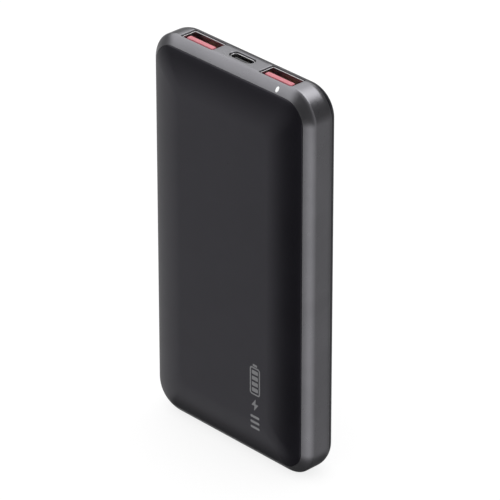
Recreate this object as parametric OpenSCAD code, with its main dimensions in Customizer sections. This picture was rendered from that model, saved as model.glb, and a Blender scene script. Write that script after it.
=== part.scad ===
// Slim portable power bank: curved front cover, port frame, rear tray,
// pouch cell, electronics board, two USB-A outlets, one USB-C socket and a side button.
// Frame: origin at the centre of the bottom edge, +Z up along the long side,
// front cover facing -Y, width along X. Millimetres.

/* [Body] */
// Overall width, side to side
body_w = 68; // [66:1:72]
// Overall height, standing on the end away from the ports
body_h = 129; // [128:1:134]
// Overall thickness, front to rear
body_t = 15.6; // [15.6:0.1:16.2]
// Radius of the four corners seen from the front
corner_r = 10; // [10:0.1:10.4]
// Thickness of the side walls
wall = 1.75; // [1.6:0.05:1.8]

/* [Front cover] */
// Distance of the crease from the outermost side
crease_in = 2.9; // [2.8:0.05:3]
// Depth of the crease behind the flat front
crease_d = 2.6; // [2.5:0.05:2.7]
// Width of the curved margin inside the crease
margin_w = 12.5; // [11.5:0.1:13.5]
// Thickness of the flat part of the cover
front_t = 1.4; // [1.2:0.1:1.4]
// Gap all round between cover and frame
cover_gap = 0.1; // [0.08:0.01:0.12]

/* [Frame] */
// Depth of the rounded shoulder behind the crease
shoulder_d = 3.1; // [2.9:0.05:3.2]
// Angle at which the shoulder leaves the crease
shoulder_a = 35; // [30:1:40]
// Depth position of the seam between frame and rear cover
part_y = 4.3; // [4.2:0.05:4.4]

/* [Rear cover] */
// Rounding of the rear edge, measured across the face
rear_in = 5.2; // [5:0.1:5.4]
// Rounding of the rear edge, measured through the thickness
rear_d = 5.2; // [5:0.1:5.4]
// Thickness of the flat part of the rear cover
rear_t = 1.6; // [1.5:0.1:1.6]
// Width of the snap hooks
hook_w = 6; // [4:0.5:8]

/* [Ports] */
// Distance from the middle socket to each outer socket
port_pitch = 16.6; // [16.4:0.1:17]
// How far the socket mouths sit below the top face
mouth_drop = 0.4; // [0.2:0.1:0.5]
// Depth position of the sockets' centre line
port_y = 0.65; // [0.5:0.05:0.7]
// How far the USB-A tongues stop short of the shell's mouth
tongue_drop = 0.12; // [0.1:0.02:0.5]
// Outer width of a USB-A shell
usb_a_w = 13.2; // [13.1:0.05:13.3]
// Outer thickness of a USB-A shell
usb_a_h = 5.72; // [5.7:0.01:5.8]
// Length of a USB-A shell
usb_a_len = 14; // [13.5:0.1:14]
// Outer width of the USB-C shell
usb_c_w = 8.94; // [8.9:0.01:9]
// Outer thickness of the USB-C shell
usb_c_h = 3.16; // [3.1:0.01:3.26]
// Length of the USB-C shell
usb_c_len = 7.4; // [7:0.1:7.6]

/* [Cell] */
// Width of the pouch cell
cell_w = 58.5; // [56:0.5:58.5]
// Length of the pouch cell without its sealed end
cell_l = 92; // [88:0.5:92]
// Thickness of the pouch cell
cell_t = 11; // [10.5:0.1:11]

/* [Button] */
// Height of the button's centre above the bottom
btn_z = 115.6; // [115.4:0.1:115.8]
// Length of the button cap
btn_l = 6.4; // [6:0.1:6.6]
// Width of the button cap
btn_w = 2.6; // [2.4:0.1:2.7]
// Gap round the button cap
btn_gap = 0.15; // [0.1:0.01:0.2]
// Spacing of the charge level windows
led_pitch = 1.75; // [1.7:0.01:1.75]

/* [Hidden] */

// In names, _y0 is a front face, _y1 a rear face, _z0 a lower end.
overlap = 0.01;
sides = [-1, 1];

// Colours shared by several pieces
cover_grey = [0.20, 0.20, 0.22];
frame_grey = [0.30, 0.30, 0.32];
foam_black = [0.12, 0.12, 0.12];
chip_black = [0.07, 0.07, 0.07];
socket_black = [0.06, 0.06, 0.06];
switch_black = [0.10, 0.10, 0.10];
shell_steel = [0.62, 0.62, 0.64];
contact_gold = [0.85, 0.68, 0.30];
led_white = [0.95, 0.95, 0.85];
guide_clear = [0.85, 0.88, 0.90];

// Body
corner_x = body_w / 2 - corner_r;    // corner centre, from the middle
corner_z = body_h - corner_r;        // upper corner centre
y_front = -body_t / 2;               // flat front
y_rear = body_t / 2;                 // flat rear
y_crease = y_front + crease_d;       // crease between cover and frame
y_side0 = y_crease + shoulder_d;     // where the shoulder meets the flat side
y_side1 = y_rear - rear_d;           // where the rear rounding starts
side_in = body_w / 2 - wall;         // inner face of the side wall
rear_inner_y = y_rear - rear_t;      // inner face of the flat rear

// Front cover
margin_angle = 55.8;                 // angle spanned by the curved margin
margin_steps = 14;
swept_in = 9.9;                      // the margin turns the corners out to this distance
crown_t = 0.9;                       // depth of the crown behind the flat front
adhesive_t = 0.15;
adhesive_in = 4.2;                   // inner edge of the adhesive ring

// Frame
y_ledge = y_crease + 1.2;            // front face of the ledge that carries the cover
ledge_in = 4.3;                      // inner edge of the ledge
ledge_t = 1.2;
seam = 0.1;                          // gap of the rear seam
lip_in = 1.25;                       // outer side of the frame's lip
lip_h = 0.8;                         // height of the frame's lip
lip_gap = 0.1;
shoulder_steps = 7;
rear_steps = 10;
web_y0 = y_ledge;
web_y1 = y_ledge + 0.95;

// Cell
cell_z0 = 8.2;
cell_top = cell_z0 + cell_l;
cell_y1 = rear_inner_y - 0.3;
cell_y0 = cell_y1 - cell_t;

// Main board
board_y0 = port_y + 2.95;
board_t = 1.2;
board_y1 = board_y0 + board_t;
board_z0 = body_h - 24.2;
board_top = body_h - 2.2;
// screw places: [x, z]
boss_xz = [[-26.5, body_h - 21.2], [26.5, body_h - 21.2],
           [-7.3, body_h - 7.5], [7.3, body_h - 7.5]];

// Sockets
mouth_z = body_h - mouth_drop;
usb_a_z0 = mouth_z - usb_a_len;
usb_c_z0 = mouth_z - usb_c_len;
shell_t = 0.3;
leg_size = [0.3, 1.6];               // shell leg: across X, along Z
leg_slot = [0.6, 2.2];               // its slot in the board
usb_a_leg_z = [usb_a_z0 + 3, usb_a_z0 + 10];
usb_c_leg_z = [usb_c_z0 + 2.5];

// Button, charge level windows and status window
btn_y = (y_side0 + y_side1) / 2;
led_z0 = btn_z - 10.4;               // lowest level window
led_zs = [for (i = [0:3]) led_z0 + i * led_pitch];
dot_x = 19.6;                        // status window
dot_y = y_crease + 1;

// ---------- profile curves: lists of [distance in from the side, depth] ----------
// depth on the curved margin where its arc stands at an angle
function margin_depth(angle) =
    y_front + crease_d * (1 - cos(angle)) / (1 - cos(margin_angle));

// curved margin, from the flat front out to the crease
function front_arc(steps) = [for (i = [0:steps]) let (angle = i * margin_angle / steps)
    [crease_in + margin_w * (1 - sin(angle) / sin(margin_angle)), margin_depth(angle)]];

// depth of the front at a distance in from the side
function front_depth(inset) =
    let (share = min(1, max(0, (crease_in + margin_w - inset) / margin_w)))
    margin_depth(asin(share * sin(margin_angle)));

// shoulder from the crease to the flat side
function shoulder(steps) = [for (i = [0:steps]) let (t = i / steps)
    [crease_in * (1 - t) * (1 - t),
     y_crease + 2 * t * (1 - t) * crease_in * tan(shoulder_a) + t * t * shoulder_d]];

// rear rounding between two depths
function rear_arc(steps, y_from, y_to) =
    let (start = asin((y_from - y_side1) / rear_d),
         end = asin(min(1, (y_to - y_side1) / rear_d)))
    [for (i = [0:steps]) let (angle = start + i * (end - start) / steps)
        [rear_in * (1 - cos(angle)), y_side1 + rear_d * sin(angle)]];

// ---------- shape helpers ----------
// upright block from one corner to the other
module block(low, high) translate(low) cube(high - low);

// block centred on x, z, running between two depths
module pad(x, z, width, height, y_from, y_to)
    block([x - width / 2, y_from, z - height / 2], [x + width / 2, y_to, z + height / 2]);

module rod_x(y, z, radius, x_from, x_to)
    translate([x_from, y, z]) rotate([0, 90, 0])
        cylinder(r = radius, h = x_to - x_from, $fn = 32);
module rod_y(x, z, radius, y_from, y_to)
    translate([x, y_from, z]) rotate([-90, 0, 0])
        cylinder(r = radius, h = y_to - y_from, $fn = 32);
module rod_z(x, y, radius, z_from, z_to)
    translate([x, y, z_from]) cylinder(r = radius, h = z_to - z_from, $fn = 32);

// bar along X with a [y, z] profile
module bar_x(origin, length, profile)
    translate(origin) rotate([90, 0, 90]) linear_extrude(length) polygon(profile);

// upright block with rounded vertical edges, centred on x, y
module round_post(x, y, width, depth, radius, z_from, z_to) {
    height = z_to - z_from;
    translate([x - width / 2 + radius, y - depth / 2, z_from])
        cube([width - 2 * radius, depth, height]);
    translate([x - width / 2, y - depth / 2 + radius, z_from])
        cube([width, depth - 2 * radius, height]);
    for (sx = sides, sy = sides)
        rod_z(x + sx * (width / 2 - radius), y + sy * (depth / 2 - radius),
              radius, z_from, z_to);
}

// post that widens upward by flare over the same height, up to z_top
module round_flare(x, y, width, depth, radius, flare, z_top) {
    rise = flare + overlap;
    function section(size) =
        [[-size / 2, 0], [size / 2, 0], [size / 2 + rise, rise], [-size / 2 - rise, rise]];
    translate([x, y + depth / 2 - radius, z_top - flare]) rotate([90, 0, 0])
        linear_extrude(depth - 2 * radius) polygon(section(width));
    bar_x([x - width / 2 + radius, y, z_top - flare], width - 2 * radius, section(depth));
    for (sx = sides, sy = sides)
        translate([x + sx * (width / 2 - radius), y + sy * (depth / 2 - radius), z_top - flare])
            cylinder(r1 = radius, r2 = radius + rise, h = rise, $fn = 32);
}

// bar along X whose section has round ends above and below
module stadium_x(y, z, length, width, x_from, x_to) {
    end_z = (length - width) / 2;
    block([x_from, y - width / 2, z - end_z], [x_to, y + width / 2, z + end_z]);
    for (s = sides) rod_x(y, z + s * end_z, width / 2, x_from, x_to);
}

// a closed profile carried round the rounded outline of the body
module round_sweep(points) {
    profile = [for (p = points) [corner_r - p[0], -p[1]]];
    tall = body_h - 2 * corner_r;
    wide = 2 * corner_x;
    // each corner with the straight run beside it: [turn, x, z, run length]
    runs = [[0, corner_x, corner_z, tall], [90, -corner_x, corner_z, wide],
            [180, -corner_x, corner_r, tall], [270, corner_x, corner_r, wide]];
    rotate([90, 0, 0])
        for (run = runs) translate([run[1], run[2], 0]) rotate([0, 0, run[0]]) {
            rotate_extrude(angle = 90, $fn = 48) polygon(profile);
            rotate([90, 0, 0]) linear_extrude(run[3]) polygon(profile);
        }
}

// a full slab whose edge follows an open profile from its first depth to its last
module round_slab(points) {
    y_first = points[0][1];
    y_last = points[len(points) - 1][1];
    round_sweep(concat([[corner_r, y_first]], points, [[corner_r, y_last]]));
    translate([-corner_x, min(y_first, y_last), corner_r])
        cube([2 * corner_x, abs(y_last - y_first), body_h - 2 * corner_r]);
}

// ---------- front cover ----------
crown_insets = [for (i = [0:4]) swept_in + i * (crease_in + margin_w - swept_in) / 4];

// section of the flat middle with its gently rising edges, for a side of a given length
function crown_section(length) = concat(
    [for (inset = crown_insets) [-(length / 2 - inset), front_depth(inset)]],
    [for (i = [len(crown_insets) - 1:-1:0])
        [length / 2 - crown_insets[i], front_depth(crown_insets[i])]],
    [[length / 2 - swept_in, y_front + crown_t], [-(length / 2 - swept_in), y_front + crown_t]]);

// raised middle of the cover: both sections meet along the corner diagonals
module crown() intersection() {
    translate([0, 0, swept_in]) linear_extrude(body_h - 2 * swept_in)
        polygon(crown_section(body_w));
    bar_x([-(body_w / 2 - swept_in), 0, body_h / 2], body_w - 2 * swept_in,
          [for (p = crown_section(body_h)) [p[1], p[0]]]);
}

// inside of the cover: [distance in from the side, depth]
cover_hollow = [
    [swept_in, y_front + front_t],
    [8, y_front + front_t + 0.2],
    [6.2, y_front + front_t + 0.7],
    [4.9, y_front + front_t + 1.5],
    [4.25, y_ledge - adhesive_t - 0.3],
    [4.25, y_ledge - adhesive_t + 1]];

module front_cover() color(cover_grey) {
    edge_in = crease_in + cover_gap;
    difference() {
        union() {
            round_slab(concat(
                [[swept_in, front_depth(swept_in)]],
                [for (p = front_arc(margin_steps))
                    if (p[0] > crease_in + 0.2 && p[0] < swept_in - 0.1) p],
                [[edge_in, y_crease - 0.12], [edge_in, y_ledge - adhesive_t]]));
            crown();
        }
        round_slab(cover_hollow);
    }
}

module front_adhesive_ring() color([0.08, 0.08, 0.08])
    round_sweep([[3.15, y_ledge - adhesive_t], [adhesive_in, y_ledge - adhesive_t],
                 [adhesive_in, y_ledge], [3.15, y_ledge]]);

// ---------- frame ----------
hook_zs = [22, 60, 94];              // hooks on both sides
hook_xs = [-14, 14];                 // hooks along the bottom
usb_a_gap = 0.3;                     // opening wider than the shell by this
usb_c_gap = 0.36;
side_out = -body_w / 2;              // outer face of the left side, which has the button
side_inner = -side_in;               // its inner face

// rods at all four screw places
module boss_rods(radius, y_from, y_to)
    for (b = boss_xz) rod_y(b[0], b[1], radius, y_from, y_to);

module frame_body() {
    round_sweep(concat(
        shoulder(shoulder_steps),
        rear_arc(3, y_side1, part_y - seam / 2),
        [[lip_in, part_y - seam / 2], [lip_in, part_y + lip_h], [wall, part_y + lip_h],
         [wall, y_ledge + ledge_t], [ledge_in, y_ledge + ledge_t], [ledge_in, y_ledge],
         [crease_in, y_ledge]]));
    // web across the electronics bay
    block([-30.2, web_y0, body_h - 24.8], [30.2, web_y1, body_h - 7]);
    block([-26, web_y0, body_h - 7.1], [26, web_y1, body_h - 3.9]);
    // screw bosses
    boss_rods(1.85, web_y1 - 0.3, board_y0);
}

// opening in the top wall, flared at the outside
module socket_opening(x, width, depth, radius) {
    round_post(x, port_y, width, depth, radius, body_h - 3, body_h + 1);
    round_flare(x, port_y, width, depth, radius, 0.3, body_h);
}

// openings in the left side: button, its shallow pocket, level windows
module side_openings() {
    stadium_x(btn_y, btn_z, btn_l + 2 * btn_gap, btn_w + 2 * btn_gap,
              side_out - 1, side_inner + 1);
    stadium_x(btn_y, btn_z, btn_l + 0.95, btn_w + 1.1, side_out - 1, side_out + 0.3);
    for (z = led_zs) rod_x(btn_y, z, 0.5, side_out - 1, side_inner + 1);
}

// status window and the slot of its light guide
module status_opening() {
    left = dot_x - 0.7;
    right = dot_x + 0.7;
    slot_z0 = body_h - 6.35;
    rod_z(dot_x, dot_y, 0.65, body_h - 2.95, body_h + 1);
    block([left, web_y0 - 1, slot_z0], [right, web_y1 + 0.1, body_h - 3.3]);
    block([left, web_y0 - overlap, body_h - 3.4], [right, web_y1 + 0.1, body_h - 1.75]);
    block([left, web_y0 - 1, slot_z0], [dot_x + 6.4, web_y1 + 1, body_h - 4.9]);
}

// grooves that catch the rear cover's hooks
module hook_grooves() {
    groove_d = 0.5;                  // depth into the wall
    inward = 1;                      // overrun into the bay
    groove_l = hook_w + 0.8;
    size = groove_d + inward;
    shift = (inward - groove_d) / 2;
    for (s = sides, z = hook_zs) pad(s * (side_in - shift), z, size, groove_l, 0.4, 1.7);
    for (x = hook_xs) pad(x, wall + shift, groove_l, size, 0.4, 1.7);
}

module mid_frame() color(frame_grey)
    difference() {
        frame_body();
        boss_rods(0.85, web_y1 + 0.6, board_y0 + 1);
        for (s = sides)
            socket_opening(s * port_pitch, usb_a_w + usb_a_gap, usb_a_h + usb_a_gap, 0.7);
        socket_opening(0, usb_c_w + usb_c_gap, usb_c_h + usb_c_gap,
                       (usb_c_h + usb_c_gap) / 2 - 0.01);
        side_openings();
        status_opening();
        hook_grooves();
    }

// ---------- rear cover ----------
// snap hook with its barb outward: [distance in from the side, depth]
hook_profile = [[2.9, 6.05], [2.9, 0.6], [2, 0.6], [1.45, 1.1],
                [1.45, 1.45], [2, 1.6], [2, 6.05]];

// one snap hook on the right side
module side_hook(z) translate([0, 0, z - hook_w / 2]) linear_extrude(hook_w)
    polygon([for (p = hook_profile) [body_w / 2 - p[0], p[1]]]);

// one snap hook along the bottom
module bottom_hook(x) translate([x + hook_w / 2, 0, 0]) rotate([0, -90, 0])
    linear_extrude(hook_w) polygon(hook_profile);

module rear_cover() color(cover_grey) {
    difference() {
        round_slab(rear_arc(rear_steps, part_y + seam / 2, y_rear));
        round_slab([
            [lip_in - lip_gap, part_y - 1],
            [lip_in - lip_gap, part_y + lip_h + lip_gap],
            [wall, part_y + lip_h + lip_gap],
            [wall + 0.6, rear_inner_y - 0.7],
            [wall + 1.7, rear_inner_y - 0.3],
            [wall + 2.7, rear_inner_y - 0.1],
            [rear_in, rear_inner_y]]);
    }
    for (z = hook_zs) {
        side_hook(z);
        mirror([1, 0, 0]) side_hook(z);
    }
    for (x = hook_xs) bottom_hook(x);
}

// ---------- cell ----------
cell_pad_z = 52;                     // middle height of the foam pad and adhesive strips
tab_x = 9;
tab_t = 0.15;
tab_y0 = 0.4;
guard_y0 = 0.9;                      // protection board
guard_y1 = 1.7;

module battery_cell() color([0.72, 0.73, 0.75]) {
    mid_y = (cell_y0 + cell_y1) / 2;
    round_post(0, mid_y, cell_w, cell_t, 2.5, cell_z0, cell_top);
    // folded side seams and the sealed end
    for (s = sides)
        pad(s * (cell_w / 2 + 0.1), cell_z0 + cell_l / 2, 0.4, cell_l - 2, mid_y - 2, mid_y + 2);
    block([-27, 0.1, cell_top - 0.1], [27, 0.4, cell_top + 3.2]);
}

// two tabs, each with its upper edge turned to the rear
module cell_tabs() color([0.75, 0.73, 0.68])
    for (s = sides) {
        left = s * tab_x - 2;
        right = s * tab_x + 2;
        top = cell_top + 3.75;
        block([left, tab_y0, cell_top + 0.8], [right, tab_y0 + tab_t, top]);
        block([left, tab_y0, top - tab_t], [right, guard_y0, top]);
    }

module cell_tape() color([0.85, 0.62, 0.15])
    block([-19, cell_y0 - 0.08, cell_top - 9], [19, cell_y0, cell_top - 1.5]);

module cell_protection_board() color([0.08, 0.30, 0.16])
    block([-20, guard_y0, cell_top + 0.6], [20, guard_y1, cell_top + 4.2]);

module protection_chips() color(chip_black) {
    for (x = [-6.5, 0]) pad(x, cell_top + 2.4, 3, 3, guard_y1, guard_y1 + 0.9);
    pad(6.1, cell_top + 2.3, 2.6, 1.8, guard_y1, guard_y1 + 1);
}

module cell_foam_pad() color(foam_black)
    pad(0, cell_pad_z, 40, 64, cell_y0 - 0.8, cell_y0);

module cell_adhesive_strips() color([0.9, 0.9, 0.85])
    for (s = sides) pad(s * 14, cell_pad_z, 12, 72, cell_y1, cell_y1 + 0.3);

module bottom_foam_block() color(foam_black)
    block([-10, -2.6, wall + 0.02], [10, 3.3, cell_z0 - 0.02]);

// ---------- main board ----------
// depths that cut right through the board
cut_y0 = board_y0 - 1;
cut_y1 = board_y0 + 3;

// bars at both sides of a shell, for its legs and their slots
module shell_legs(x, shell_w, zs, size, y_from, y_to)
    for (s = sides, z = zs)
        pad(x + s * (shell_w - shell_t) / 2, z, size[0], size[1], y_from, y_to);

module main_board() color([0.05, 0.22, 0.14])
    difference() {
        intersection() {
            block([-30, board_y0, board_z0], [30, board_y1, board_top]);
            // rounds the two upper corners
            union() {
                block([-31, cut_y0, board_z0 - 1], [31, cut_y1, corner_z]);
                block([-corner_x, cut_y0, board_z0 - 1], [corner_x, cut_y1, board_top + 1]);
                for (s = sides) rod_y(s * corner_x, corner_z, 7.6, cut_y0, cut_y1);
            }
        }
        boss_rods(0.95, cut_y0, cut_y1);
        for (s = sides)
            shell_legs(s * port_pitch, usb_a_w, usb_a_leg_z, leg_slot, cut_y0, cut_y1);
        shell_legs(0, usb_c_w, usb_c_leg_z, leg_slot, cut_y0, cut_y1);
    }

module board_screws() color([0.6, 0.6, 0.62])
    for (b = boss_xz) difference() {
        union() {
            rod_y(b[0], b[1], 0.8, board_y0 - 3.6, board_y1 + 0.2);
            rod_y(b[0], b[1], 1.6, board_y1, board_y1 + 1);
        }
        // cross recess
        pad(b[0], b[1], 2.2, 0.4, board_y1 + 0.5, board_y1 + 2);
        pad(b[0], b[1], 0.4, 2.2, board_y1 + 0.5, board_y1 + 2);
    }

module board_insulator() color([0.85, 0.85, 0.8])
    block([-28, rear_inner_y - 0.17, board_z0 - 1], [28, rear_inner_y - 0.02, body_h - 8.5]);

// ---------- USB-A ----------
usb_a_contact_xs = [-3.5, -1, 1, 3.5];
finger_x = 3.1;                      // spring fingers, from the socket's middle
finger_w = 1.8;
// spring finger, bent in towards the plug: [distance from port_y, height above usb_a_z0]
finger_profile = [[2.86, 11.4], [2.56, 11.4], [2.2, 7.2], [2.45, 5.6], [2.7, 5.6], [2.45, 7.2]];
tongue_half_w = 5.5;
tongue_y0 = -1.84;                   // from port_y
// chamfers of the tongue's tip: [y from port_y, z from the tip]
tip_cuts = [[[-1.85, overlap], [-1.55, overlap], [-1.85, -0.35]],
            [[0.01, overlap], [-0.25, overlap], [0.01, -0.35]]];

module usb_a_shell(x) color(shell_steel) {
    difference() {
        round_post(x, port_y, usb_a_w, usb_a_h, 0.6, usb_a_z0, mouth_z);
        round_post(x, port_y, usb_a_w - 2 * shell_t, usb_a_h - 2 * shell_t, 0.3,
                   usb_a_z0 - 1, mouth_z + 1);
        // windows behind the spring fingers
        for (s = sides, q = sides)
            pad(x + q * finger_x, usb_a_z0 + 8.1, 2.4, 6.2,
                port_y + s * 2.7 - 0.5, port_y + s * 2.7 + 0.5);
    }
    for (s = sides, q = sides)
        bar_x([x + q * finger_x - finger_w / 2, port_y, usb_a_z0], finger_w,
              [for (p = finger_profile) [s * p[0], p[1]]]);
    shell_legs(x, usb_a_w, usb_a_leg_z, leg_size, port_y + usb_a_h / 2 - 0.8, board_y1 + 0.7);
}

module usb_a_tongue(x) color([0.80, 0.16, 0.10]) translate([0, port_y, 0]) {
    tip_z = mouth_z - tongue_drop;
    base_x = usb_a_w / 2 - 0.42;
    base_y = usb_a_h / 2 - 0.42;
    difference() {
        union() {
            block([x - base_x, -base_y, usb_a_z0 + 0.1], [x + base_x, base_y, usb_a_z0 + 3.1]);
            block([x - tongue_half_w, tongue_y0, usb_a_z0 + 3], [x + tongue_half_w, 0, tip_z]);
        }
        // channels of the four contacts
        for (c = usb_a_contact_xs)
            block([x + c - 0.6, -0.25, usb_a_z0 - 1], [x + c + 0.6, 0.6, mouth_z - 2.2]);
        for (cut = tip_cuts) bar_x([x - 6, 0, tip_z], 12, cut);
    }
}

// contact strips with a raised bend and a foot turned to the rear
module usb_a_contacts(x) color(contact_gold) {
    y_front_face = -0.22;
    y_rear_face = -0.04;
    for (c = usb_a_contact_xs)
        bar_x([x + c - 0.5, port_y, 0], 1,
              [[y_front_face, usb_a_z0 - 0.5], [2.9, usb_a_z0 - 0.5],
               [2.9, usb_a_z0 - 0.3], [y_rear_face, usb_a_z0 - 0.3],
               [y_rear_face, usb_a_z0 + 6], [0.38, usb_a_z0 + 10.2],
               [y_rear_face, mouth_z - 2.4], [y_front_face, mouth_z - 2.4]]);
}

module usb_a_left_shell() usb_a_shell(-port_pitch);
module usb_a_left_tongue() usb_a_tongue(-port_pitch);
module usb_a_left_contacts() usb_a_contacts(-port_pitch);
module usb_a_right_shell() usb_a_shell(port_pitch);
module usb_a_right_tongue() usb_a_tongue(port_pitch);
module usb_a_right_contacts() usb_a_contacts(port_pitch);

// ---------- USB-C ----------
usb_c_contact_pitch = 0.5;
usb_c_contact_xs = [for (i = [-5.5:1:5.5]) i * usb_c_contact_pitch];

// post smaller than the shell's outside by trim, with fully rounded ends
module usb_c_post(trim, z_from, z_to)
    round_post(0, port_y, usb_c_w - trim, usb_c_h - trim, (usb_c_h - trim) / 2 - 0.01,
               z_from, z_to);

module usb_c_shell() color(shell_steel) {
    difference() {
        usb_c_post(0, usb_c_z0, mouth_z);
        usb_c_post(2 * shell_t, usb_c_z0 - 1, mouth_z + 1);
    }
    shell_legs(0, usb_c_w, usb_c_leg_z, leg_size, port_y, board_y1 + 0.5);
}

module usb_c_tongue() color(socket_black) difference() {
    union() {
        usb_c_post(0.7, usb_c_z0 + 0.1, usb_c_z0 + 2);
        block([-3.35, port_y - 0.35, usb_c_z0 + 1.9], [3.35, port_y + 0.35, mouth_z - 0.6]);
    }
    // contact channels on both faces: [outer distance from port_y, upper end]
    for (s = sides, x = usb_c_contact_xs, cut = [[0.5, mouth_z - 1.4], [0.6, usb_c_z0 + 2.1]])
        block([x - 0.15, port_y + min(s * 0.25, s * cut[0]), usb_c_z0 - 1],
              [x + 0.15, port_y + max(s * 0.25, s * cut[0]), cut[1]]);
}

module usb_c_contacts() color(contact_gold) translate([0, port_y, 0])
    for (x = usb_c_contact_xs) {
        left = x - 0.12;
        right = x + 0.12;
        tip_z = mouth_z - 1.5;
        foot_z = usb_c_z0 - 0.6;
        block([left, 0.27, foot_z], [right, 0.37, tip_z]);
        block([left, 0.27, foot_z], [right, board_y0 - port_y - 0.05, foot_z + 0.12]);
        block([left, -0.37, usb_c_z0 - 0.2], [right, -0.27, tip_z]);
    }

module usb_c_riser() color(socket_black)
    block([-4.05, port_y + usb_c_h / 2 + 0.02, usb_c_z0 + 0.2], [4.05, board_y0, usb_c_z0 + 6]);

// ---------- components ----------
// parts on the board's front or rear face; z is the centre above the board's lower edge
module front_part(x, z, width, height, thick)
    pad(x, board_z0 + z, width, height, board_y0 - thick, board_y0);
module rear_part(x, z, width, height, thick)
    pad(x, board_z0 + z, width, height, board_y1, board_y1 + thick);

module power_inductor() color([0.20, 0.20, 0.21]) {
    z = 5;
    size = 8;
    difference() {
        pad(0, board_z0 + z, size, size, board_y0 - 5.7, board_y0 - 0.1);
        // chamfers on the four edges along Y
        for (s = sides, q = sides)
            translate([s * size / 2, board_y0 - 7, board_z0 + z + q * size / 2])
                rotate([0, 45, 0]) cube([1, 20, 1], center = true);
    }
    for (s = sides) front_part(x = s * 3.2, z = z, width = 1.2, height = 4, thick = 0.11);
}

module polymer_capacitors() color([0.78, 0.78, 0.80])
    for (s = sides) {
        rod_y(s * 9, board_z0 + 6, 3, board_y0 - 5.6, board_y0 - 0.7);
        front_part(x = s * 9, z = 6, width = 6.4, height = 6.4, thick = 0.75);
    }

module ceramic_capacitors() color([0.66, 0.50, 0.34])
    for (s = sides) {
        for (i = [0:3])
            front_part(x = s * 22.7, z = 1.625 + 2 * i, width = 2, height = 1.25, thick = 1.2);
        for (i = [0:2])
            rear_part(x = s * 6, z = 3.4 + 1.6 * i, width = 1.6, height = 0.8, thick = 0.8);
    }

module power_controller() color(chip_black)
    rear_part(x = 0, z = 5, width = 6, height = 6, thick = 0.9);

module charge_controller() color(chip_black)
    rear_part(x = 16, z = 4, width = 4, height = 4, thick = 0.8);

module power_mosfets() color(chip_black)
    for (s = sides, row = [0, 1])
        front_part(x = s * 2.5, z = 10.8 + 3.4 * row, width = 3.3, height = 3, thick = 0.9);

module sense_resistor() color([0.12, 0.12, 0.12])
    rear_part(x = -14.85, z = 3.95, width = 6.3, height = 3.1, thick = 0.6);

module level_leds() color(led_white)
    for (z = led_zs) pad(-29.9, z, 1.4, 0.9, board_y0 - 0.75, board_y0);

module level_light_guide() color(guide_clear) {
    block([side_inner + 0.05, -0.6, led_z0 - 0.7],
          [side_inner + 1.3, board_y0 - 0.1, led_z0 + 3 * led_pitch + 0.7]);
    for (z = led_zs) rod_x(btn_y, z, 0.45, side_out + 0.03, side_inner + 0.2);
}

module status_led() color(led_white)
    pad(dot_x + 5.6, body_h - 5.5, 1.2, 1, board_y0 - 0.7, board_y0);

// the top shoulder's section as a bar along X, to trim the status window flush
module shoulder_bar() bar_x([dot_x - 2, 0, -0.03], 4, concat(
    [for (p = shoulder(shoulder_steps)) [p[1], body_h - p[0]]],
    [[y_side0 + 2, body_h], [y_side0 + 2, body_h - 5],
     [y_crease - 0.5, body_h - 5], [y_crease - 0.5, body_h - crease_in]]));

module status_light_guide() color(guide_clear) {
    guide_y0 = web_y0 + 0.05;
    guide_y1 = web_y1 - 0.05;
    guide_z0 = body_h - 6.25;
    guide_end = dot_x + 6.3;
    intersection() {
        rod_z(dot_x, dot_y, 0.6, body_h - 2.8, body_h + 1);
        shoulder_bar();
    }
    // upright, cross arm, and the end that reaches back to the LED
    block([dot_x - 0.6, guide_y0, guide_z0], [dot_x + 0.6, guide_y1, body_h - 2.1]);
    block([dot_x - 0.6, guide_y0, guide_z0], [guide_end, guide_y1, body_h - 5]);
    block([dot_x + 5, guide_y0, guide_z0], [guide_end, board_y0 - 0.8, body_h - 5]);
}

// ---------- button and switch ----------
switch_x0 = -30.4;                   // left face of the switch
switch_x1 = -27.2;                   // right face
plunger_x = -31.1;                   // where button and plunger meet
plunger_y1 = board_y0 - 0.4;
base_y0 = board_y0 - 1.55;
lid_y0 = board_y0 - 1.7;

module power_button() color(frame_grey) {
    stadium_x(btn_y, btn_z, btn_l - 0.5, btn_w - 0.5, side_out + 0.06, side_out + 0.4);
    stadium_x(btn_y, btn_z, btn_l, btn_w, side_out + 0.25, side_inner + 0.2);
    // plate inside the wall and the finger that reaches the plunger
    block([side_inner + 0.05, -1.6, btn_z - 3.6],
          [side_inner + 0.75, board_y0 - 0.2, btn_z + 3.6]);
    block([side_inner + 0.7, board_y0 - 1.25, btn_z - 1.2], [plunger_x, plunger_y1, btn_z + 1.2]);
}

module switch_plunger() color(switch_black) {
    block([plunger_x, board_y0 - 1.25, btn_z - 1.3], [-29.95, plunger_y1, btn_z + 1.3]);
    block([-30, board_y0 - 1.35, btn_z - 1.7], [-29.6, plunger_y1, btn_z + 1.7]);
}

module switch_base() color(switch_black) difference() {
    block([switch_x0, base_y0, btn_z - 2.35], [switch_x1, board_y0, btn_z + 2.35]);
    // plunger's chamber and its mouth
    block([-30.1, board_y0 - 2, btn_z - 1.8], [-28.6, board_y0 - 0.3, btn_z + 1.8]);
    block([-31, board_y0 - 2, btn_z - 1.4], [-30, board_y0 - 0.3, btn_z + 1.4]);
}

module switch_cover() color([0.70, 0.70, 0.72]) {
    block([switch_x0, lid_y0, btn_z - 2.5], [switch_x1, base_y0, btn_z + 2.5]);
    for (s = sides) pad(-28.8, btn_z + s * 2.43, 1.6, 0.14, lid_y0, board_y0);
}

// ---------- wiring ----------
lead_y = (guard_y1 + board_y0) / 2;
lead_r = 0.9;
bend_r = 2;
bead_x = 5.5;                        // thermistor
bead_y = -2.2;

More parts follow.
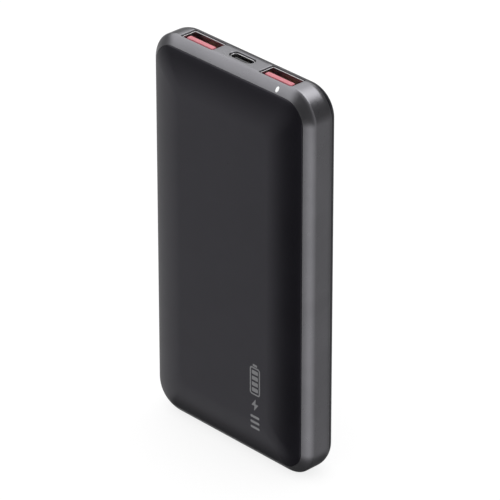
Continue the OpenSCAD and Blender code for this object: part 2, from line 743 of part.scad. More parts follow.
// quarter bend of a lead in the XZ plane
module lead_bend(x, z, turn)
    translate([x, lead_y, z]) rotate([90, 0, 0]) rotate([0, 0, turn])
        rotate_extrude(angle = 90, $fn = 32) translate([bend_r, 0])
            circle(r = lead_r, $fn = 24);

// lead that rises, steps outward and rises again; side is 1 right, -1 left
module lead(side) {
    start_x = 14;
    bend1_x = start_x + bend_r;
    bend2_x = 18;
    bend1_z = board_z0 - 0.4;
    run_z = bend1_z + bend_r;
    bend2_z = run_z + bend_r;
    rod_z(side * start_x, lead_y, lead_r, cell_top + 1, bend1_z);
    lead_bend(side * bend1_x, bend1_z, side > 0 ? 90 : 0);
    rod_x(lead_y, run_z, lead_r,
          min(side * bend1_x, side * bend2_x), max(side * bend1_x, side * bend2_x));
    lead_bend(side * bend2_x, bend2_z, side > 0 ? 270 : 180);
    rod_z(side * (bend2_x + bend_r), lead_y, lead_r, bend2_z, board_z0 + 6);
}

module positive_lead() color([0.75, 0.10, 0.10]) lead(1);
module negative_lead() color([0.08, 0.08, 0.08]) lead(-1);

module thermistor() color([0.10, 0.10, 0.10])
    translate([bead_x, bead_y, cell_top + 1.1]) sphere(r = 1, $fn = 32);

module thermistor_leads() color([0.75, 0.70, 0.25])
    for (s = sides) {
        x = bead_x + s * 0.35;
        wire_r = 0.2;
        turn_z = board_z0 + 1;
        rod_z(x, bead_y, wire_r, cell_top + 2.15, turn_z);
        translate([x, bead_y, turn_z]) sphere(r = wire_r, $fn = 24);
        rod_y(x, turn_z, wire_r, bead_y, board_y0);
    }

front_cover();
front_adhesive_ring();
mid_frame();
rear_cover();
battery_cell();
cell_tabs();
cell_tape();
cell_protection_board();
protection_chips();
cell_foam_pad();
cell_adhesive_strips();
bottom_foam_block();
main_board();
board_screws();
board_insulator();
usb_a_left_shell();
usb_a_left_tongue();
usb_a_left_contacts();
usb_a_right_shell();
usb_a_right_tongue();
usb_a_right_contacts();
usb_c_shell();
usb_c_tongue();
usb_c_contacts();
usb_c_riser();
power_inductor();
polymer_capacitors();
ceramic_capacitors();
power_controller();
charge_controller();
power_mosfets();
sense_resistor();
level_leds();
level_light_guide();
status_led();
status_light_guide();
power_button();
switch_base();
switch_cover();
switch_plunger();
positive_lead();
negative_lead();
thermistor();
thermistor_leads();
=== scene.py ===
"""Pocket battery pack with two USB-A sockets and one USB-C socket in its top end.

It stands upright on a short end, on z = 0 and centred on x = 0. The front cover faces -Y, the
rear cover +Y, and the sockets open towards +Z. The power button and the charge level windows
are on the -X side. Lengths are in millimetres and become metres when a mesh is made.
"""
import math

import bmesh
import bpy
from mathutils import Matrix, Vector


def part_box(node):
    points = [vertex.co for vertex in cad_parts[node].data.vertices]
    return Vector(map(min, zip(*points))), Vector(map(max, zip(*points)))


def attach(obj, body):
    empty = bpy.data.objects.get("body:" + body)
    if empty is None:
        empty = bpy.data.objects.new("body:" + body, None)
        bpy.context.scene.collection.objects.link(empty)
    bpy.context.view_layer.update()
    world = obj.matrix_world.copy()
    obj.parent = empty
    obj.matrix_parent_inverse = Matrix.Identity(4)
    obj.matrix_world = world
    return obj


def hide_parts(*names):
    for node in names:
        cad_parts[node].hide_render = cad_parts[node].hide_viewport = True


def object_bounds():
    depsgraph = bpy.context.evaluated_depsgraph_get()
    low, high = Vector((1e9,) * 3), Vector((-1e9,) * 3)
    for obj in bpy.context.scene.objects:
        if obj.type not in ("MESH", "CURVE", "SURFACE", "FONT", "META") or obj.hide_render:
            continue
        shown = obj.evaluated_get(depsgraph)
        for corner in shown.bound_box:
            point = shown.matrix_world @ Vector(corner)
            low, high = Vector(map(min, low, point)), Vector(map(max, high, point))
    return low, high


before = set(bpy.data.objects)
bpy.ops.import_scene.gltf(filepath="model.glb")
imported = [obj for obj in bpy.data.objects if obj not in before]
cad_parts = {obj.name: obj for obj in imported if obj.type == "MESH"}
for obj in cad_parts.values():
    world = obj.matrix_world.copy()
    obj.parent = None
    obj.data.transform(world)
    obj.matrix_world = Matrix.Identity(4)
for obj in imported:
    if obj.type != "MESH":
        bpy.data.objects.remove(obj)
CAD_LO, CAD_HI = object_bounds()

MM = 0.001
scene = bpy.context.scene


def box_mm(node):
    """Low and high corners of a CAD piece in millimetres."""
    low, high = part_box(node)
    return [v / MM for v in low], [v / MM for v in high]


# ------------------------------------------------------------------ dimensions
# body
WIDTH = (CAD_HI.x - CAD_LO.x) / MM
HEIGHT = (CAD_HI.z - CAD_LO.z) / MM
FRONT_Y, REAR_Y = CAD_LO.y / MM, CAD_HI.y / MM
CORNER_R = 10.0
CORNER_X = WIDTH / 2 - CORNER_R
CORNER_BLEND = 9.0            # how much rounder the corners get across the front margin
WALL = 1.75
SIDE_IN = WIDTH / 2 - WALL    # inner face of a side wall
SEAM = 0.1
JOINT_GAP = 0.1               # clearance of the covers' rims inside the frame
FRONT_T, REAR_T = 1.4, 1.6

# front: a curved margin runs down to a crease, then the frame's shoulder runs out to the side
CREASE_IN, MARGIN_W = 2.9, 12.5
MARGIN_ARC = math.radians(55.8)
LEDGE_Y = box_mm("front_adhesive_ring")[1][1]
LEDGE_IN = 4.3
TAPE_T = 0.15
CREASE_Y = LEDGE_Y - 1.2
CREASE_D = CREASE_Y - FRONT_Y
SHOULDER_D, SHOULDER_ANGLE = 3.1, 35.0
SHOULDER_PULL = CREASE_IN * math.tan(math.radians(SHOULDER_ANGLE))

# sides and rear: straight wall, rear arc, and the parting line with its lip
SIDE_Y0 = CREASE_Y + SHOULDER_D
REAR_R = 5.2
SIDE_Y1 = REAR_Y - REAR_R
PART_Y = box_mm("mid_frame")[1][1] - 0.8
LIP_IN, LIP_H = 1.25, 0.8

# web across the electronics bay
WEB_Y = LEDGE_Y + 0.95
PCB_Y, PCB_T = box_mm("main_board")[0][1], 1.2

# sockets
a_low, a_high = box_mm("usb_a_right_shell")
c_low, c_high = box_mm("usb_c_shell")
PORT_PITCH = (a_low[0] + a_high[0]) / 2
A_W, A_H, A_Z0 = a_high[0] - a_low[0], 5.72, a_low[2]
C_W, C_H, C_Z0 = c_high[0] - c_low[0], 3.16, c_low[2]
PORT_Y = a_low[1] + A_H / 2
MOUTH = a_high[2]
SHEET_T = 0.3
PORT_FLARE = 0.34
A_CONTACTS = (-3.5, -1, 1, 3.5)

# button
btn_low, btn_high = box_mm("power_button")
BTN_Z = (btn_low[2] + btn_high[2]) / 2
BTN_Y = (SIDE_Y0 + SIDE_Y1) / 2
BTN_L, BTN_W, BTN_GAP = 6.4, 2.6, 0.15
BTN_EDGE = 0.34
POCKET_W, POCKET_D = 0.42, 0.3    # softened rim round the button opening

# light windows
LED_PITCH, LED_COUNT = 1.75, 4
LED_Z0 = BTN_Z - 10.4
LED_R = 0.45
DOT_X, DOT_Y, DOT_R = 19.6, CREASE_Y + 1, 0.6

# rear cover hooks: places along the long sides and along the bottom end
HOOK_Z = (22, 60, 94)
HOOK_X = (-14, 14)
# (inset from the side, y)
HOOK = [(2.9, 6.12), (2.9, 0.6), (2, 0.6), (1.45, 1.1), (1.45, 1.45), (2, 1.6), (2, 6.12)]


# ------------------------------------------------------------------ mesh tools
def mesh_object(name, verts, faces):
    mesh = bpy.data.meshes.new(name)
    mesh.from_pydata([(v[0] * MM, v[1] * MM, v[2] * MM) for v in verts], [], faces)
    mesh.validate()
    return link_mesh(name, mesh)


def link_mesh(name, mesh):
    obj = bpy.data.objects.new(name, mesh)
    scene.collection.objects.link(obj)
    return obj


def clean(obj):
    bm = bmesh.new()
    bm.from_mesh(obj.data)
    bmesh.ops.remove_doubles(bm, verts=bm.verts, dist=1e-7)
    bmesh.ops.dissolve_degenerate(bm, dist=1e-7, edges=bm.edges)
    bmesh.ops.recalc_face_normals(bm, faces=bm.faces)
    bm.to_mesh(obj.data)
    bm.free()
    return obj


def discard(obj):
    mesh = obj.data
    bpy.data.objects.remove(obj)
    bpy.data.meshes.remove(mesh)


def apply_modifiers(obj):
    depsgraph = bpy.context.evaluated_depsgraph_get()
    depsgraph.update()
    mesh = bpy.data.meshes.new_from_object(obj.evaluated_get(depsgraph))
    old = obj.data
    obj.modifiers.clear()
    obj.data = mesh
    bpy.data.meshes.remove(old)
    return obj


def boolean(obj, tools, operation="DIFFERENCE"):
    """Applies the tools one by one and discards them."""
    for tool in tools:
        mod = obj.modifiers.new("b", "BOOLEAN")
        mod.operation, mod.solver, mod.object = operation, "EXACT", tool
        apply_modifiers(obj)
        discard(tool)


def join(name, parts):
    """One object that holds the meshes of all the parts as separate solids."""
    bm = bmesh.new()
    for part in parts:
        bm.from_mesh(part.data)
        discard(part)
    mesh = bpy.data.meshes.new(name)
    bm.to_mesh(mesh)
    bm.free()
    return link_mesh(name, mesh)


def loft(loops, name="part", closed=False):
    """Quads between loops of equal length. closed joins the last loop to the first."""
    n, count = len(loops[0]), len(loops)
    verts = [p for loop in loops for p in loop]
    faces = []
    for i in range(count if closed else count - 1):
        a, b = i * n, ((i + 1) % count) * n
        for j in range(n):
            k = (j + 1) % n
            faces.append((a + j, a + k, b + k, b + j))
    if not closed:
        faces.append(tuple(range(n))[::-1])
        faces.append(tuple(range((count - 1) * n, count * n)))
    return clean(mesh_object(name, verts, faces))


def round_rect(width, height, radius, steps=8):
    """Outline about the origin; the radius is held to what the sides allow."""
    r = max(0.001, min(radius, width / 2 - 0.0005, height / 2 - 0.0005))
    x, y = width / 2 - r, height / 2 - r
    out = []
    for cx, cy, start in ((x, y, 0), (-x, y, 90), (-x, -y, 180), (x, -y, 270)):
        for i in range(steps + 1):
            a = math.radians(start + 90 * i / steps)
            out.append((cx + r * math.cos(a), cy + r * math.sin(a)))
    return out


def z_loop(x, y, width, height, radius, z, steps=8):
    """Rounded rectangle across Z: width along X and height along Y."""
    return [(x + p[0], y + p[1], z) for p in round_rect(width, height, radius, steps)]


def button_loop(width, length, x, steps):
    """Round-ended slot shape about the button's axis, at the given x."""
    return [(x, BTN_Y + p[0], BTN_Z + p[1]) for p in round_rect(width, length, width, steps)]


def quarter(steps, first=0):
    """(1 - cos, sin) at even angles up to 90 degrees, for rounded edges."""
    angles = [math.radians(90 * i / steps) for i in range(first, steps + 1)]
    return [(1 - math.cos(a), math.sin(a)) for a in angles]


def circle(sides):
    angles = [2 * math.pi * i / sides for i in range(sides)]
    return [(math.cos(a), math.sin(a)) for a in angles]


def box(low, high, radius=0, name="part"):
    """Box between two corners, with rounded edges if a radius is given."""
    (x0, y0, z0), (x1, y1, z1) = low, high
    verts = [(x, y, z) for z in (z0, z1) for x, y in ((x0, y0), (x1, y0), (x1, y1), (x0, y1))]
    obj = mesh_object(name, verts, [(0, 3, 2, 1), (4, 5, 6, 7), (0, 1, 5, 4),
                                    (1, 2, 6, 5), (2, 3, 7, 6), (3, 0, 4, 7)])
    if not radius:
        return obj
    mod = obj.modifiers.new("bev", "BEVEL")
    mod.width, mod.segments = radius * MM, 2
    mod.limit_method, mod.angle_limit = "ANGLE", math.radians(30)
    mod.use_clamp_overlap = True
    return apply_modifiers(obj)


def rod(start, axis, radius, length, sides):
    along = Vector(axis).normalized()
    up = Vector((0, 0, 1)) if abs(along.z) < 0.9 else Vector((1, 0, 0))
    side = along.cross(up).normalized()
    up = side.cross(along)
    return loft([[tuple(Vector(start) + along * d + side * (radius * c) + up * (radius * s))
                  for c, s in circle(sides)] for d in (0, length)])


def strip(points, x0, x1, thickness):
    """Bent sheet: a line of (y, z) points given a thickness, extruded from x0 to x1."""
    left, right = [], []
    for i, point in enumerate(points):
        before = Vector(points[max(i - 1, 0)])
        after = Vector(points[min(i + 1, len(points) - 1)])
        along = (after - before).normalized()
        offset = Vector((-along.y, along.x)) * thickness / 2
        left.append(Vector(point) + offset)
        right.append(Vector(point) - offset)
    outline = left + right[::-1]
    return loft([[(x, p.x, p.y) for p in outline] for x in (x0, x1)])


def smooth_line(points, steps):
    """Catmull-Rom curve through the points."""
    out = []
    last = len(points) - 1
    for i in range(last):
        p0, p1, p2, p3 = (Vector(points[max(0, min(i + k, last))]) for k in (-1, 0, 1, 2))
        for k in range(steps):
            t = k / steps
            out.append(tuple(0.5 * ((2 * p1) + (p2 - p0) * t
                                    + (2 * p0 - 5 * p1 + 4 * p2 - p3) * t * t
                                    + (3 * p1 - p0 - 3 * p2 + p3) * t ** 3)))
    out.append(tuple(points[-1]))
    return out


def fillet(points, index, radius, steps):
    """Rounds one point of an open profile with about the given radius."""
    p, a, b = Vector(points[index]), Vector(points[index - 1]), Vector(points[index + 1])
    reach_a = min(radius, (a - p).length * 0.95)
    reach_b = min(radius, (b - p).length * 0.95)
    a, b = p + (a - p).normalized() * reach_a, p + (b - p).normalized() * reach_b
    arc = []
    for i in range(steps + 1):
        t = i / steps
        arc.append(tuple((1 - t) ** 2 * a + 2 * t * (1 - t) * p + t * t * b))
    return points[:index] + arc + points[index + 1:]


pieces = []    # (object, slot)


def finish(obj, slot, *nodes, body="casing", angle=28, weighted=True):
    """Shades a piece, hangs it on its body's empty, hides the CAD pieces it stands in for and
    records its slot.
    """
    obj.data.shade_smooth()
    obj.data.set_sharp_from_angle(angle=math.radians(angle))
    if weighted:
        mod = obj.modifiers.new("wn", "WEIGHTED_NORMAL")
        mod.mode, mod.weight, mod.keep_sharp = "FACE_AREA", 60, True
    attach(obj, body)
    if nodes:
        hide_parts(*nodes)
    pieces.append((obj, slot))


# ------------------------------------------------------------------ sweep round the body's outline
def stations(n_arc=22, n_long=44, n_short=24):
    """(corner centre x, z, outward direction x, z) all round the outline."""
    out = []
    corners = [(CORNER_X, HEIGHT - CORNER_R, 0), (-CORNER_X, HEIGHT - CORNER_R, 90),
               (-CORNER_X, CORNER_R, 180), (CORNER_X, CORNER_R, 270)]
    for k, (cx, cz, start) in enumerate(corners):
        for i in range(n_arc + 1):
            a = math.radians(start + 90 * i / n_arc)
            out.append((cx, cz, math.cos(a), math.sin(a)))
        next_x, next_z, _ = corners[(k + 1) % 4]
        steps = n_short if k % 2 == 0 else n_long
        a = math.radians(start + 90)
        for i in range(1, steps):
            f = i / steps
            out.append((cx + (next_x - cx) * f, cz + (next_z - cz) * f, math.cos(a), math.sin(a)))
    return out


def at_inset(station, inset, blend):
    """Outline point at an inset from the side. With blend the corners stay round further in."""
    cx, cz, ax, az = station
    extra = CORNER_BLEND * (max(0.0, inset - CREASE_IN) / MARGIN_W) ** 1.6 if blend else 0.0
    r = CORNER_R - inset + extra
    middle = HEIGHT / 2
    x = cx * (CORNER_X - extra) / CORNER_X + r * ax
    z = middle + (cz - middle) * (middle - CORNER_R - extra) / (middle - CORNER_R) + r * az
    return x, z


def cap(verts, loop, y):
    """Closes a loop with two bands of quads and one flat inner face."""
    faces, n, outer = [], len(loop), loop
    for share in (0.94, 0.8):
        first = len(verts)
        for k in loop:
            v = verts[k]
            verts.append((v[0] * share, y, HEIGHT / 2 + (v[2] - HEIGHT / 2) * share))
        inner = [first + i for i in range(n)]
        for i in range(n):
            j = (i + 1) % n
            faces.append((outer[i], inner[i], inner[j], outer[j]))
        outer = inner
    faces.append(tuple(outer))
    return faces


def sweep(name, profile, caps=(), blend=False):
    """Carries a profile of (inset, y) points round the outline.

    caps names two neighbouring profile points. They aren't joined to each other; each is
    closed across the middle of the body instead.
    """
    route = stations()
    n, m = len(profile), len(route)
    verts, faces = [], []
    for station in route:
        for inset, y in profile:
            x, z = at_inset(station, inset, blend)
            verts.append((x, y, z))
    for s in range(m):
        t = (s + 1) % m
        for i in range(n):
            j = (i + 1) % n
            if {i, j} != set(caps):
                faces.append((s * n + i, t * n + i, t * n + j, s * n + j))
    for i, flip in zip(caps, (1, -1)):
        loop = [s * n + i for s in range(m)]
        faces += [face[::flip] for face in cap(verts, loop, profile[i][1])]
    return clean(mesh_object(name, verts, faces))


def front_arc(steps):
    """Margin from the flat front out to the crease."""
    out = []
    for i in range(steps + 1):
        a = i * MARGIN_ARC / steps
        out.append((CREASE_IN + MARGIN_W * (1 - math.sin(a) / math.sin(MARGIN_ARC)),
                    FRONT_Y + CREASE_D * (1 - math.cos(a)) / (1 - math.cos(MARGIN_ARC))))
    return out


def front_depth(inset):
    """y of the front surface at an inset from the side."""
    u = min(1.0, max(0.0, (CREASE_IN + MARGIN_W - inset) / MARGIN_W))
    rise = 1 - math.cos(math.asin(u * math.sin(MARGIN_ARC)))
    return FRONT_Y + CREASE_D * rise / (1 - math.cos(MARGIN_ARC))


def shoulder(steps):
    """Frame surface from the crease out to the side."""
    out = []
    for i in range(steps + 1):
        t = i / steps
        out.append((CREASE_IN * (1 - t) ** 2,
                    CREASE_Y + 2 * t * (1 - t) * SHOULDER_PULL + t ** 2 * SHOULDER_D))
    return out


def shoulder_height(y):
    """z of the top shoulder's surface at depth y."""
    d = y - CREASE_Y
    root = math.sqrt(SHOULDER_PULL ** 2 + (SHOULDER_D - 2 * SHOULDER_PULL) * d)
    return HEIGHT - CREASE_IN * (1 - d / (SHOULDER_PULL + root)) ** 2


def rear_arc(steps, y0, y1):
    start = math.asin((y0 - SIDE_Y1) / REAR_R)
    end = math.asin(min(1, (y1 - SIDE_Y1) / REAR_R))
    angles = [start + (end - start) * i / steps for i in range(steps + 1)]
    return [(REAR_R * (1 - math.cos(a)), SIDE_Y1 + REAR_R * math.sin(a)) for a in angles]


# ------------------------------------------------------------------ front cover
def build_front_cover():
    rim_in, rim_y = CREASE_IN + JOINT_GAP, LEDGE_Y - TAPE_T
    inner_in, inner_y = 4.25, FRONT_Y + FRONT_T
    outer = [p for p in front_arc(44) if p[0] > CREASE_IN + 0.14]
    edge = len(outer)
    outer += [(rim_in, CREASE_Y - 0.04), (rim_in, CREASE_Y + 0.55), (rim_in, rim_y)]
    outer = fillet(outer, edge, 0.16, 5)
    inner = [(inner_in, rim_y)] + smooth_line(
        [(inner_in, rim_y - 0.3), (4.9, inner_y + 1.5), (6.2, inner_y + 0.7),
         (8.0, inner_y + 0.2), (9.9, inner_y)], 4)
    profile = outer + inner
    shell = sweep("front_cover_shell", profile, caps=(0, len(profile) - 1), blend=True)
    finish(shell, "cover_plastic", "front_cover")


# ------------------------------------------------------------------ frame
def frame_profile():
    side = [(0, SIDE_Y0 + (SIDE_Y1 - SIDE_Y0) * i / 5) for i in range(1, 5)]
    points = [(CREASE_IN, LEDGE_Y), (CREASE_IN, LEDGE_Y - 0.6)]
    crease = len(points)
    points += shoulder(30) + side + rear_arc(9, SIDE_Y1, PART_Y - SEAM / 2)
    points = fillet(points, crease, 0.14, 5)
    seam_edge = len(points) - 1
    points += [(LIP_IN, PART_Y - SEAM / 2), (LIP_IN, PART_Y + LIP_H), (WALL, PART_Y + LIP_H),
               (WALL, LEDGE_Y + 1.2), (LEDGE_IN, LEDGE_Y + 1.2), (LEDGE_IN, LEDGE_Y)]
    return fillet(points, seam_edge, 0.12, 4)


def port_cutter(x, width, height, radius, steps=8):
    """Socket opening with a rounded flare at the top surface."""
    flare = PORT_FLARE
    loops = [z_loop(x, PORT_Y, width, height, radius, z, steps)
             for z in (HEIGHT - 3, HEIGHT - flare - 0.35)]
    for out, rise in quarter(6):
        f = flare * out
        loops.append(z_loop(x, PORT_Y, width + 2 * f, height + 2 * f, radius + f,
                            HEIGHT - flare + flare * rise + 0.004, steps))
    loops.append(z_loop(x, PORT_Y, width + 2 * flare, height + 2 * flare, radius + flare,
                        HEIGHT + 1, steps))
    return loft(loops)


def button_cutter():
    """Button opening with a softly rounded pocket round it."""
    width, length = BTN_W + 2 * BTN_GAP, BTN_L + 2 * BTN_GAP
    floor_x = -WIDTH / 2 + POCKET_D
    loops = [button_loop(width, length, x, 12) for x in (-SIDE_IN + 1, floor_x)]
    for out, rise in quarter(6):
        grow = POCKET_W * rise
        # slightly deeper than the pocket, so that the rim breaks through the wall's surface
        x = floor_x - (POCKET_D + 0.004) * out
        loops.append(button_loop(width + 2 * grow, length + 2 * grow, x, 12))
    loops.append(button_loop(width + 2 * POCKET_W, length + 2 * POCKET_W, -WIDTH / 2 - 1, 12))
    return loft(loops)


def hook_slots():
    half, y0, y1 = 3.4, 0.4, 1.7
    slots = []
    for side in (-1, 1):
        x0, x1 = sorted((side * (SIDE_IN - 1), side * (SIDE_IN + 0.5)))
        slots += [box((x0, y0, z - half), (x1, y1, z + half)) for z in HOOK_Z]
    slots += [box((x - half, y0, WALL - 0.5), (x + half, y1, WALL + 1)) for x in HOOK_X]
    return slots


def build_mid_frame():
    shell = sweep("frame_shell", frame_profile())
    # web across the electronics bay with its screw bosses
    # offsets of 0.001 and 0.002 keep faces from lying in one plane
    adds = [box((-30.2, LEDGE_Y + 0.001, HEIGHT - 24.8), (30.2, WEB_Y, HEIGHT - 5.5)),
            box((-25.6, LEDGE_Y + 0.002, HEIGHT - 8), (25.6, WEB_Y - 0.002, HEIGHT - 3.9))]
    bosses = [(-26.5, HEIGHT - 21.2), (26.5, HEIGHT - 21.2),
              (-7.3, HEIGHT - 7.5), (7.3, HEIGHT - 7.5)]
    adds += [rod((x, WEB_Y - 0.4, z), (0, 1, 0), 1.85, PCB_Y - WEB_Y + 0.4, 40)
             for x, z in bosses]
    boolean(shell, adds, "UNION")

    cuts = [rod((x, WEB_Y + 0.6, z), (0, 1, 0), 0.85, 12, 28) for x, z in bosses]
    cuts += [port_cutter(side * PORT_PITCH, A_W + 0.3, A_H + 0.3, 0.7) for side in (-1, 1)]
    cuts.append(port_cutter(0, C_W + 0.36, C_H + 0.36, C_H / 2 + 0.17, 14))
    cuts.append(button_cutter())
    cuts += [rod((-WIDTH / 2 - 1, BTN_Y, LED_Z0 + i * LED_PITCH), (1, 0, 0), 0.5, 4, 28)
             for i in range(LED_COUNT)]
    # status window hole, and the channel for its light guide
    cuts.append(rod((DOT_X, DOT_Y, HEIGHT - 2.95), (0, 0, 1), 0.65, 4, 32))
    cuts.append(box((DOT_X - 0.7, LEDGE_Y - 0.5, HEIGHT - 6.35),
                    (DOT_X + 0.7, WEB_Y + 0.1, HEIGHT - 1.75)))
    cuts.append(box((DOT_X + 0.5, LEDGE_Y - 1, HEIGHT - 6.35),
                    (DOT_X + 6.4, WEB_Y + 1, HEIGHT - 4.9)))
    cuts += hook_slots()
    boolean(shell, cuts)
    clean(shell)
    finish(shell, "frame_plastic", "mid_frame")


# ------------------------------------------------------------------ rear cover
def build_rear_cover():
    rim_in, rim_y = LIP_IN - JOINT_GAP, PART_Y + LIP_H + JOINT_GAP
    inner_y = REAR_Y - REAR_T
    outer = [(rim_in, PART_Y + SEAM / 2)] + rear_arc(44, PART_Y + SEAM / 2, REAR_Y)
    outer = fillet(outer, 1, 0.12, 4)
    inner = smooth_line([(5.2, inner_y), (WALL + 2.7, inner_y - 0.1), (WALL + 1.7, inner_y - 0.3),
                         (WALL + 0.6, inner_y - 0.7), (WALL, rim_y)], 4)
    profile = outer + inner + [(rim_in, rim_y)]
    shell = sweep("rear_cover_shell", profile, caps=(len(outer) - 1, len(outer)))
    hooks = []
    for side in (-1, 1):
        for z in HOOK_Z:
            hooks.append(loft([[(side * (WIDTH / 2 - inset), y, z + end) for inset, y in HOOK]
                               for end in (-3, 3)]))
    for x in HOOK_X:
        hooks.append(loft([[(x + end, y, inset) for inset, y in HOOK] for end in (-3, 3)]))
    boolean(shell, hooks, "UNION")
    clean(shell)
    finish(shell, "cover_plastic", "rear_cover")


# ------------------------------------------------------------------ sockets
def tube(x, width, height, radius, z0, steps=8):
    """Thin-walled tube along Z, from z0 to a rolled edge at the mouth."""
    t = SHEET_T
    inner_r = max(radius - t, 0.15)
    loops = [z_loop(x, PORT_Y, width, height, radius, z, steps) for z in (z0, MOUTH - 1.2)]
    for i in range(7):
        a = math.radians(180 * i / 6)
        grow = -t / 2 + t / 2 * math.cos(a)
        loops.append(z_loop(x, PORT_Y, width + 2 * grow, height + 2 * grow,
                            radius + (inner_r - radius) * (1 - math.cos(a)) / 2,
                            MOUTH - t / 2 + t / 2 * math.sin(a), steps))
    loops += [z_loop(x, PORT_Y, width - 2 * t, height - 2 * t, inner_r, z, steps)
              for z in (MOUTH - 1.2, z0)]
    return loft(loops, closed=True)


# spring finger of a USB-A can: (distance from the socket's mid plane, z above its rear end)
SPRING = [(2.71, 11.5), (2.62, 10.6), (2.33, 8.4), (2.29, 7.3), (2.42, 6.4), (2.62, 5.6)]
SPRING_X = 3.1


def build_usb_a_can(tag, x):
    can = tube(x, A_W, A_H, 0.6, A_Z0)
    windows = []
    for side in (-1, 1):
        for column in (-1, 1):
            windows.append(loft([[(x + column * SPRING_X + p[0], PORT_Y + side * 2.7 + d,
                                   A_Z0 + 8.1 + p[1]) for p in round_rect(2.4, 6.2, 0.3, 4)]
                                 for d in (-0.5, 0.5)]))
    boolean(can, windows)
    parts = [can]
    for side in (-1, 1):
        line = smooth_line([(PORT_Y + side * y, A_Z0 + z) for y, z in SPRING], 5)
        for column in (-1, 1):
            middle = x + column * SPRING_X
            parts.append(strip(line, middle - 0.9, middle + 0.9, 0.18))
        wall_x = x + side * (A_W / 2 - 0.15)
        for z in (A_Z0 + 3, A_Z0 + 10):    # legs through the board
            parts.append(box((wall_x - 0.15, PORT_Y + A_H / 2 - 0.8, z - 0.8),
                             (wall_x + 0.15, PCB_Y + PCB_T + 0.7, z + 0.8), 0.05))
    can = join(f"usb_a_{tag}_can", parts)
    clean(can)
    finish(can, "socket_steel", f"usb_a_{tag}_shell", angle=35)


def contact_channels(x, z0, z1):
    return [box((x + c - 0.6, PORT_Y - 0.25, z0), (x + c + 0.6, PORT_Y + 0.6, z1))
            for c in A_CONTACTS]


def build_usb_a_tongue(tag, x):
    """Base block and blade, with channels for the contacts."""
    low, high = box_mm(f"usb_a_{tag}_tongue")
    base = box(low, (high[0], high[1], A_Z0 + 3.1), 0.12, name=f"usb_a_{tag}_insulator")
    width, thick, tip_r = 11, 1.84, 0.42
    y, tip = PORT_Y - thick / 2, high[2]
    loops = [z_loop(x, y, width, thick, 0.22, z, 5) for z in (A_Z0 + 2.9, tip - tip_r)]
    for out, rise in quarter(5, 1):
        c = 0.3 * out
        loops.append(z_loop(x, y, width - 2 * c, thick - 2 * c, 0.24,
                            tip - tip_r + tip_r * rise, 5))
    blade = loft(loops)
    boolean(blade, contact_channels(x, A_Z0 + 3.1, MOUTH - 2.2))
    boolean(base, contact_channels(x, A_Z0 - 1, A_Z0 + 4))
    boolean(base, [blade], "UNION")
    clean(base)
    finish(base, "red_tongue", f"usb_a_{tag}_tongue", angle=35)


def build_usb_a_contacts(tag, x):
    """Bent strips with a raised nose."""
    tail = [(PCB_Y - 0.05, A_Z0 - 0.4), (PORT_Y + 0.3, A_Z0 - 0.4)]
    blade = smooth_line([(PORT_Y - 0.13, A_Z0 - 0.05), (PORT_Y - 0.13, A_Z0 + 4),
                         (PORT_Y - 0.12, A_Z0 + 6), (PORT_Y + 0.1, A_Z0 + 8.4),
                         (PORT_Y + 0.27, A_Z0 + 10.2), (PORT_Y + 0.16, A_Z0 + 10.9),
                         (PORT_Y - 0.13, MOUTH - 2.4)], 5)
    pins = join(f"usb_a_{tag}_pins",
                [strip(tail + blade, x + c - 0.5, x + c + 0.5, 0.16) for c in A_CONTACTS])
    clean(pins)
    finish(pins, "gold_contact", f"usb_a_{tag}_contacts", angle=35)


def build_usb_c_can():
    can = tube(0, C_W, C_H, C_H / 2 - 0.01, C_Z0, 14)
    parts = [can]
    for side in (-1, 1):
        wall_x = side * (C_W / 2 - 0.15)
        parts.append(box((wall_x - 0.15, PORT_Y, C_Z0 + 1.7),
                         (wall_x + 0.15, PCB_Y + PCB_T + 0.5, C_Z0 + 3.3), 0.05))
    can = join("usb_c_can", parts)
    clean(can)
    finish(can, "socket_steel", "usb_c_shell", angle=35)


def build_usb_c_tongue():
    """Base plug and blade, with twelve contact grooves in each face."""
    base = loft([z_loop(0, PORT_Y, C_W - 0.7, C_H - 0.7, C_H, z, 14)
                 for z in (C_Z0 + 0.1, C_Z0 + 2.0)], "usb_c_insulator")
    width, thick, tip_r = 6.7, 0.7, 0.2
    tip = box_mm("usb_c_tongue")[1][2]
    loops = [z_loop(0, PORT_Y, width, thick, 0.12, z, 4) for z in (C_Z0 + 1.8, tip - tip_r)]
    for out, rise in quarter(4, 1):
        c = 0.14 * out
        loops.append(z_loop(0, PORT_Y, width - 3 * c, thick - 2 * c, 0.12,
                            tip - tip_r + tip_r * rise, 4))
    boolean(base, [loft(loops)], "UNION")
    grooves = []
    for y0, y1 in ((PORT_Y - 0.6, PORT_Y - 0.25), (PORT_Y + 0.25, PORT_Y + 0.6)):
        for i in range(12):
            x = (i - 5.5) * 0.5
            grooves.append(box((x - 0.15, y0, C_Z0 - 1), (x + 0.15, y1, MOUTH - 1.4)))
    boolean(base, [join("grooves", grooves)])
    clean(base)
    finish(base, "black_nylon", "usb_c_tongue", angle=35)


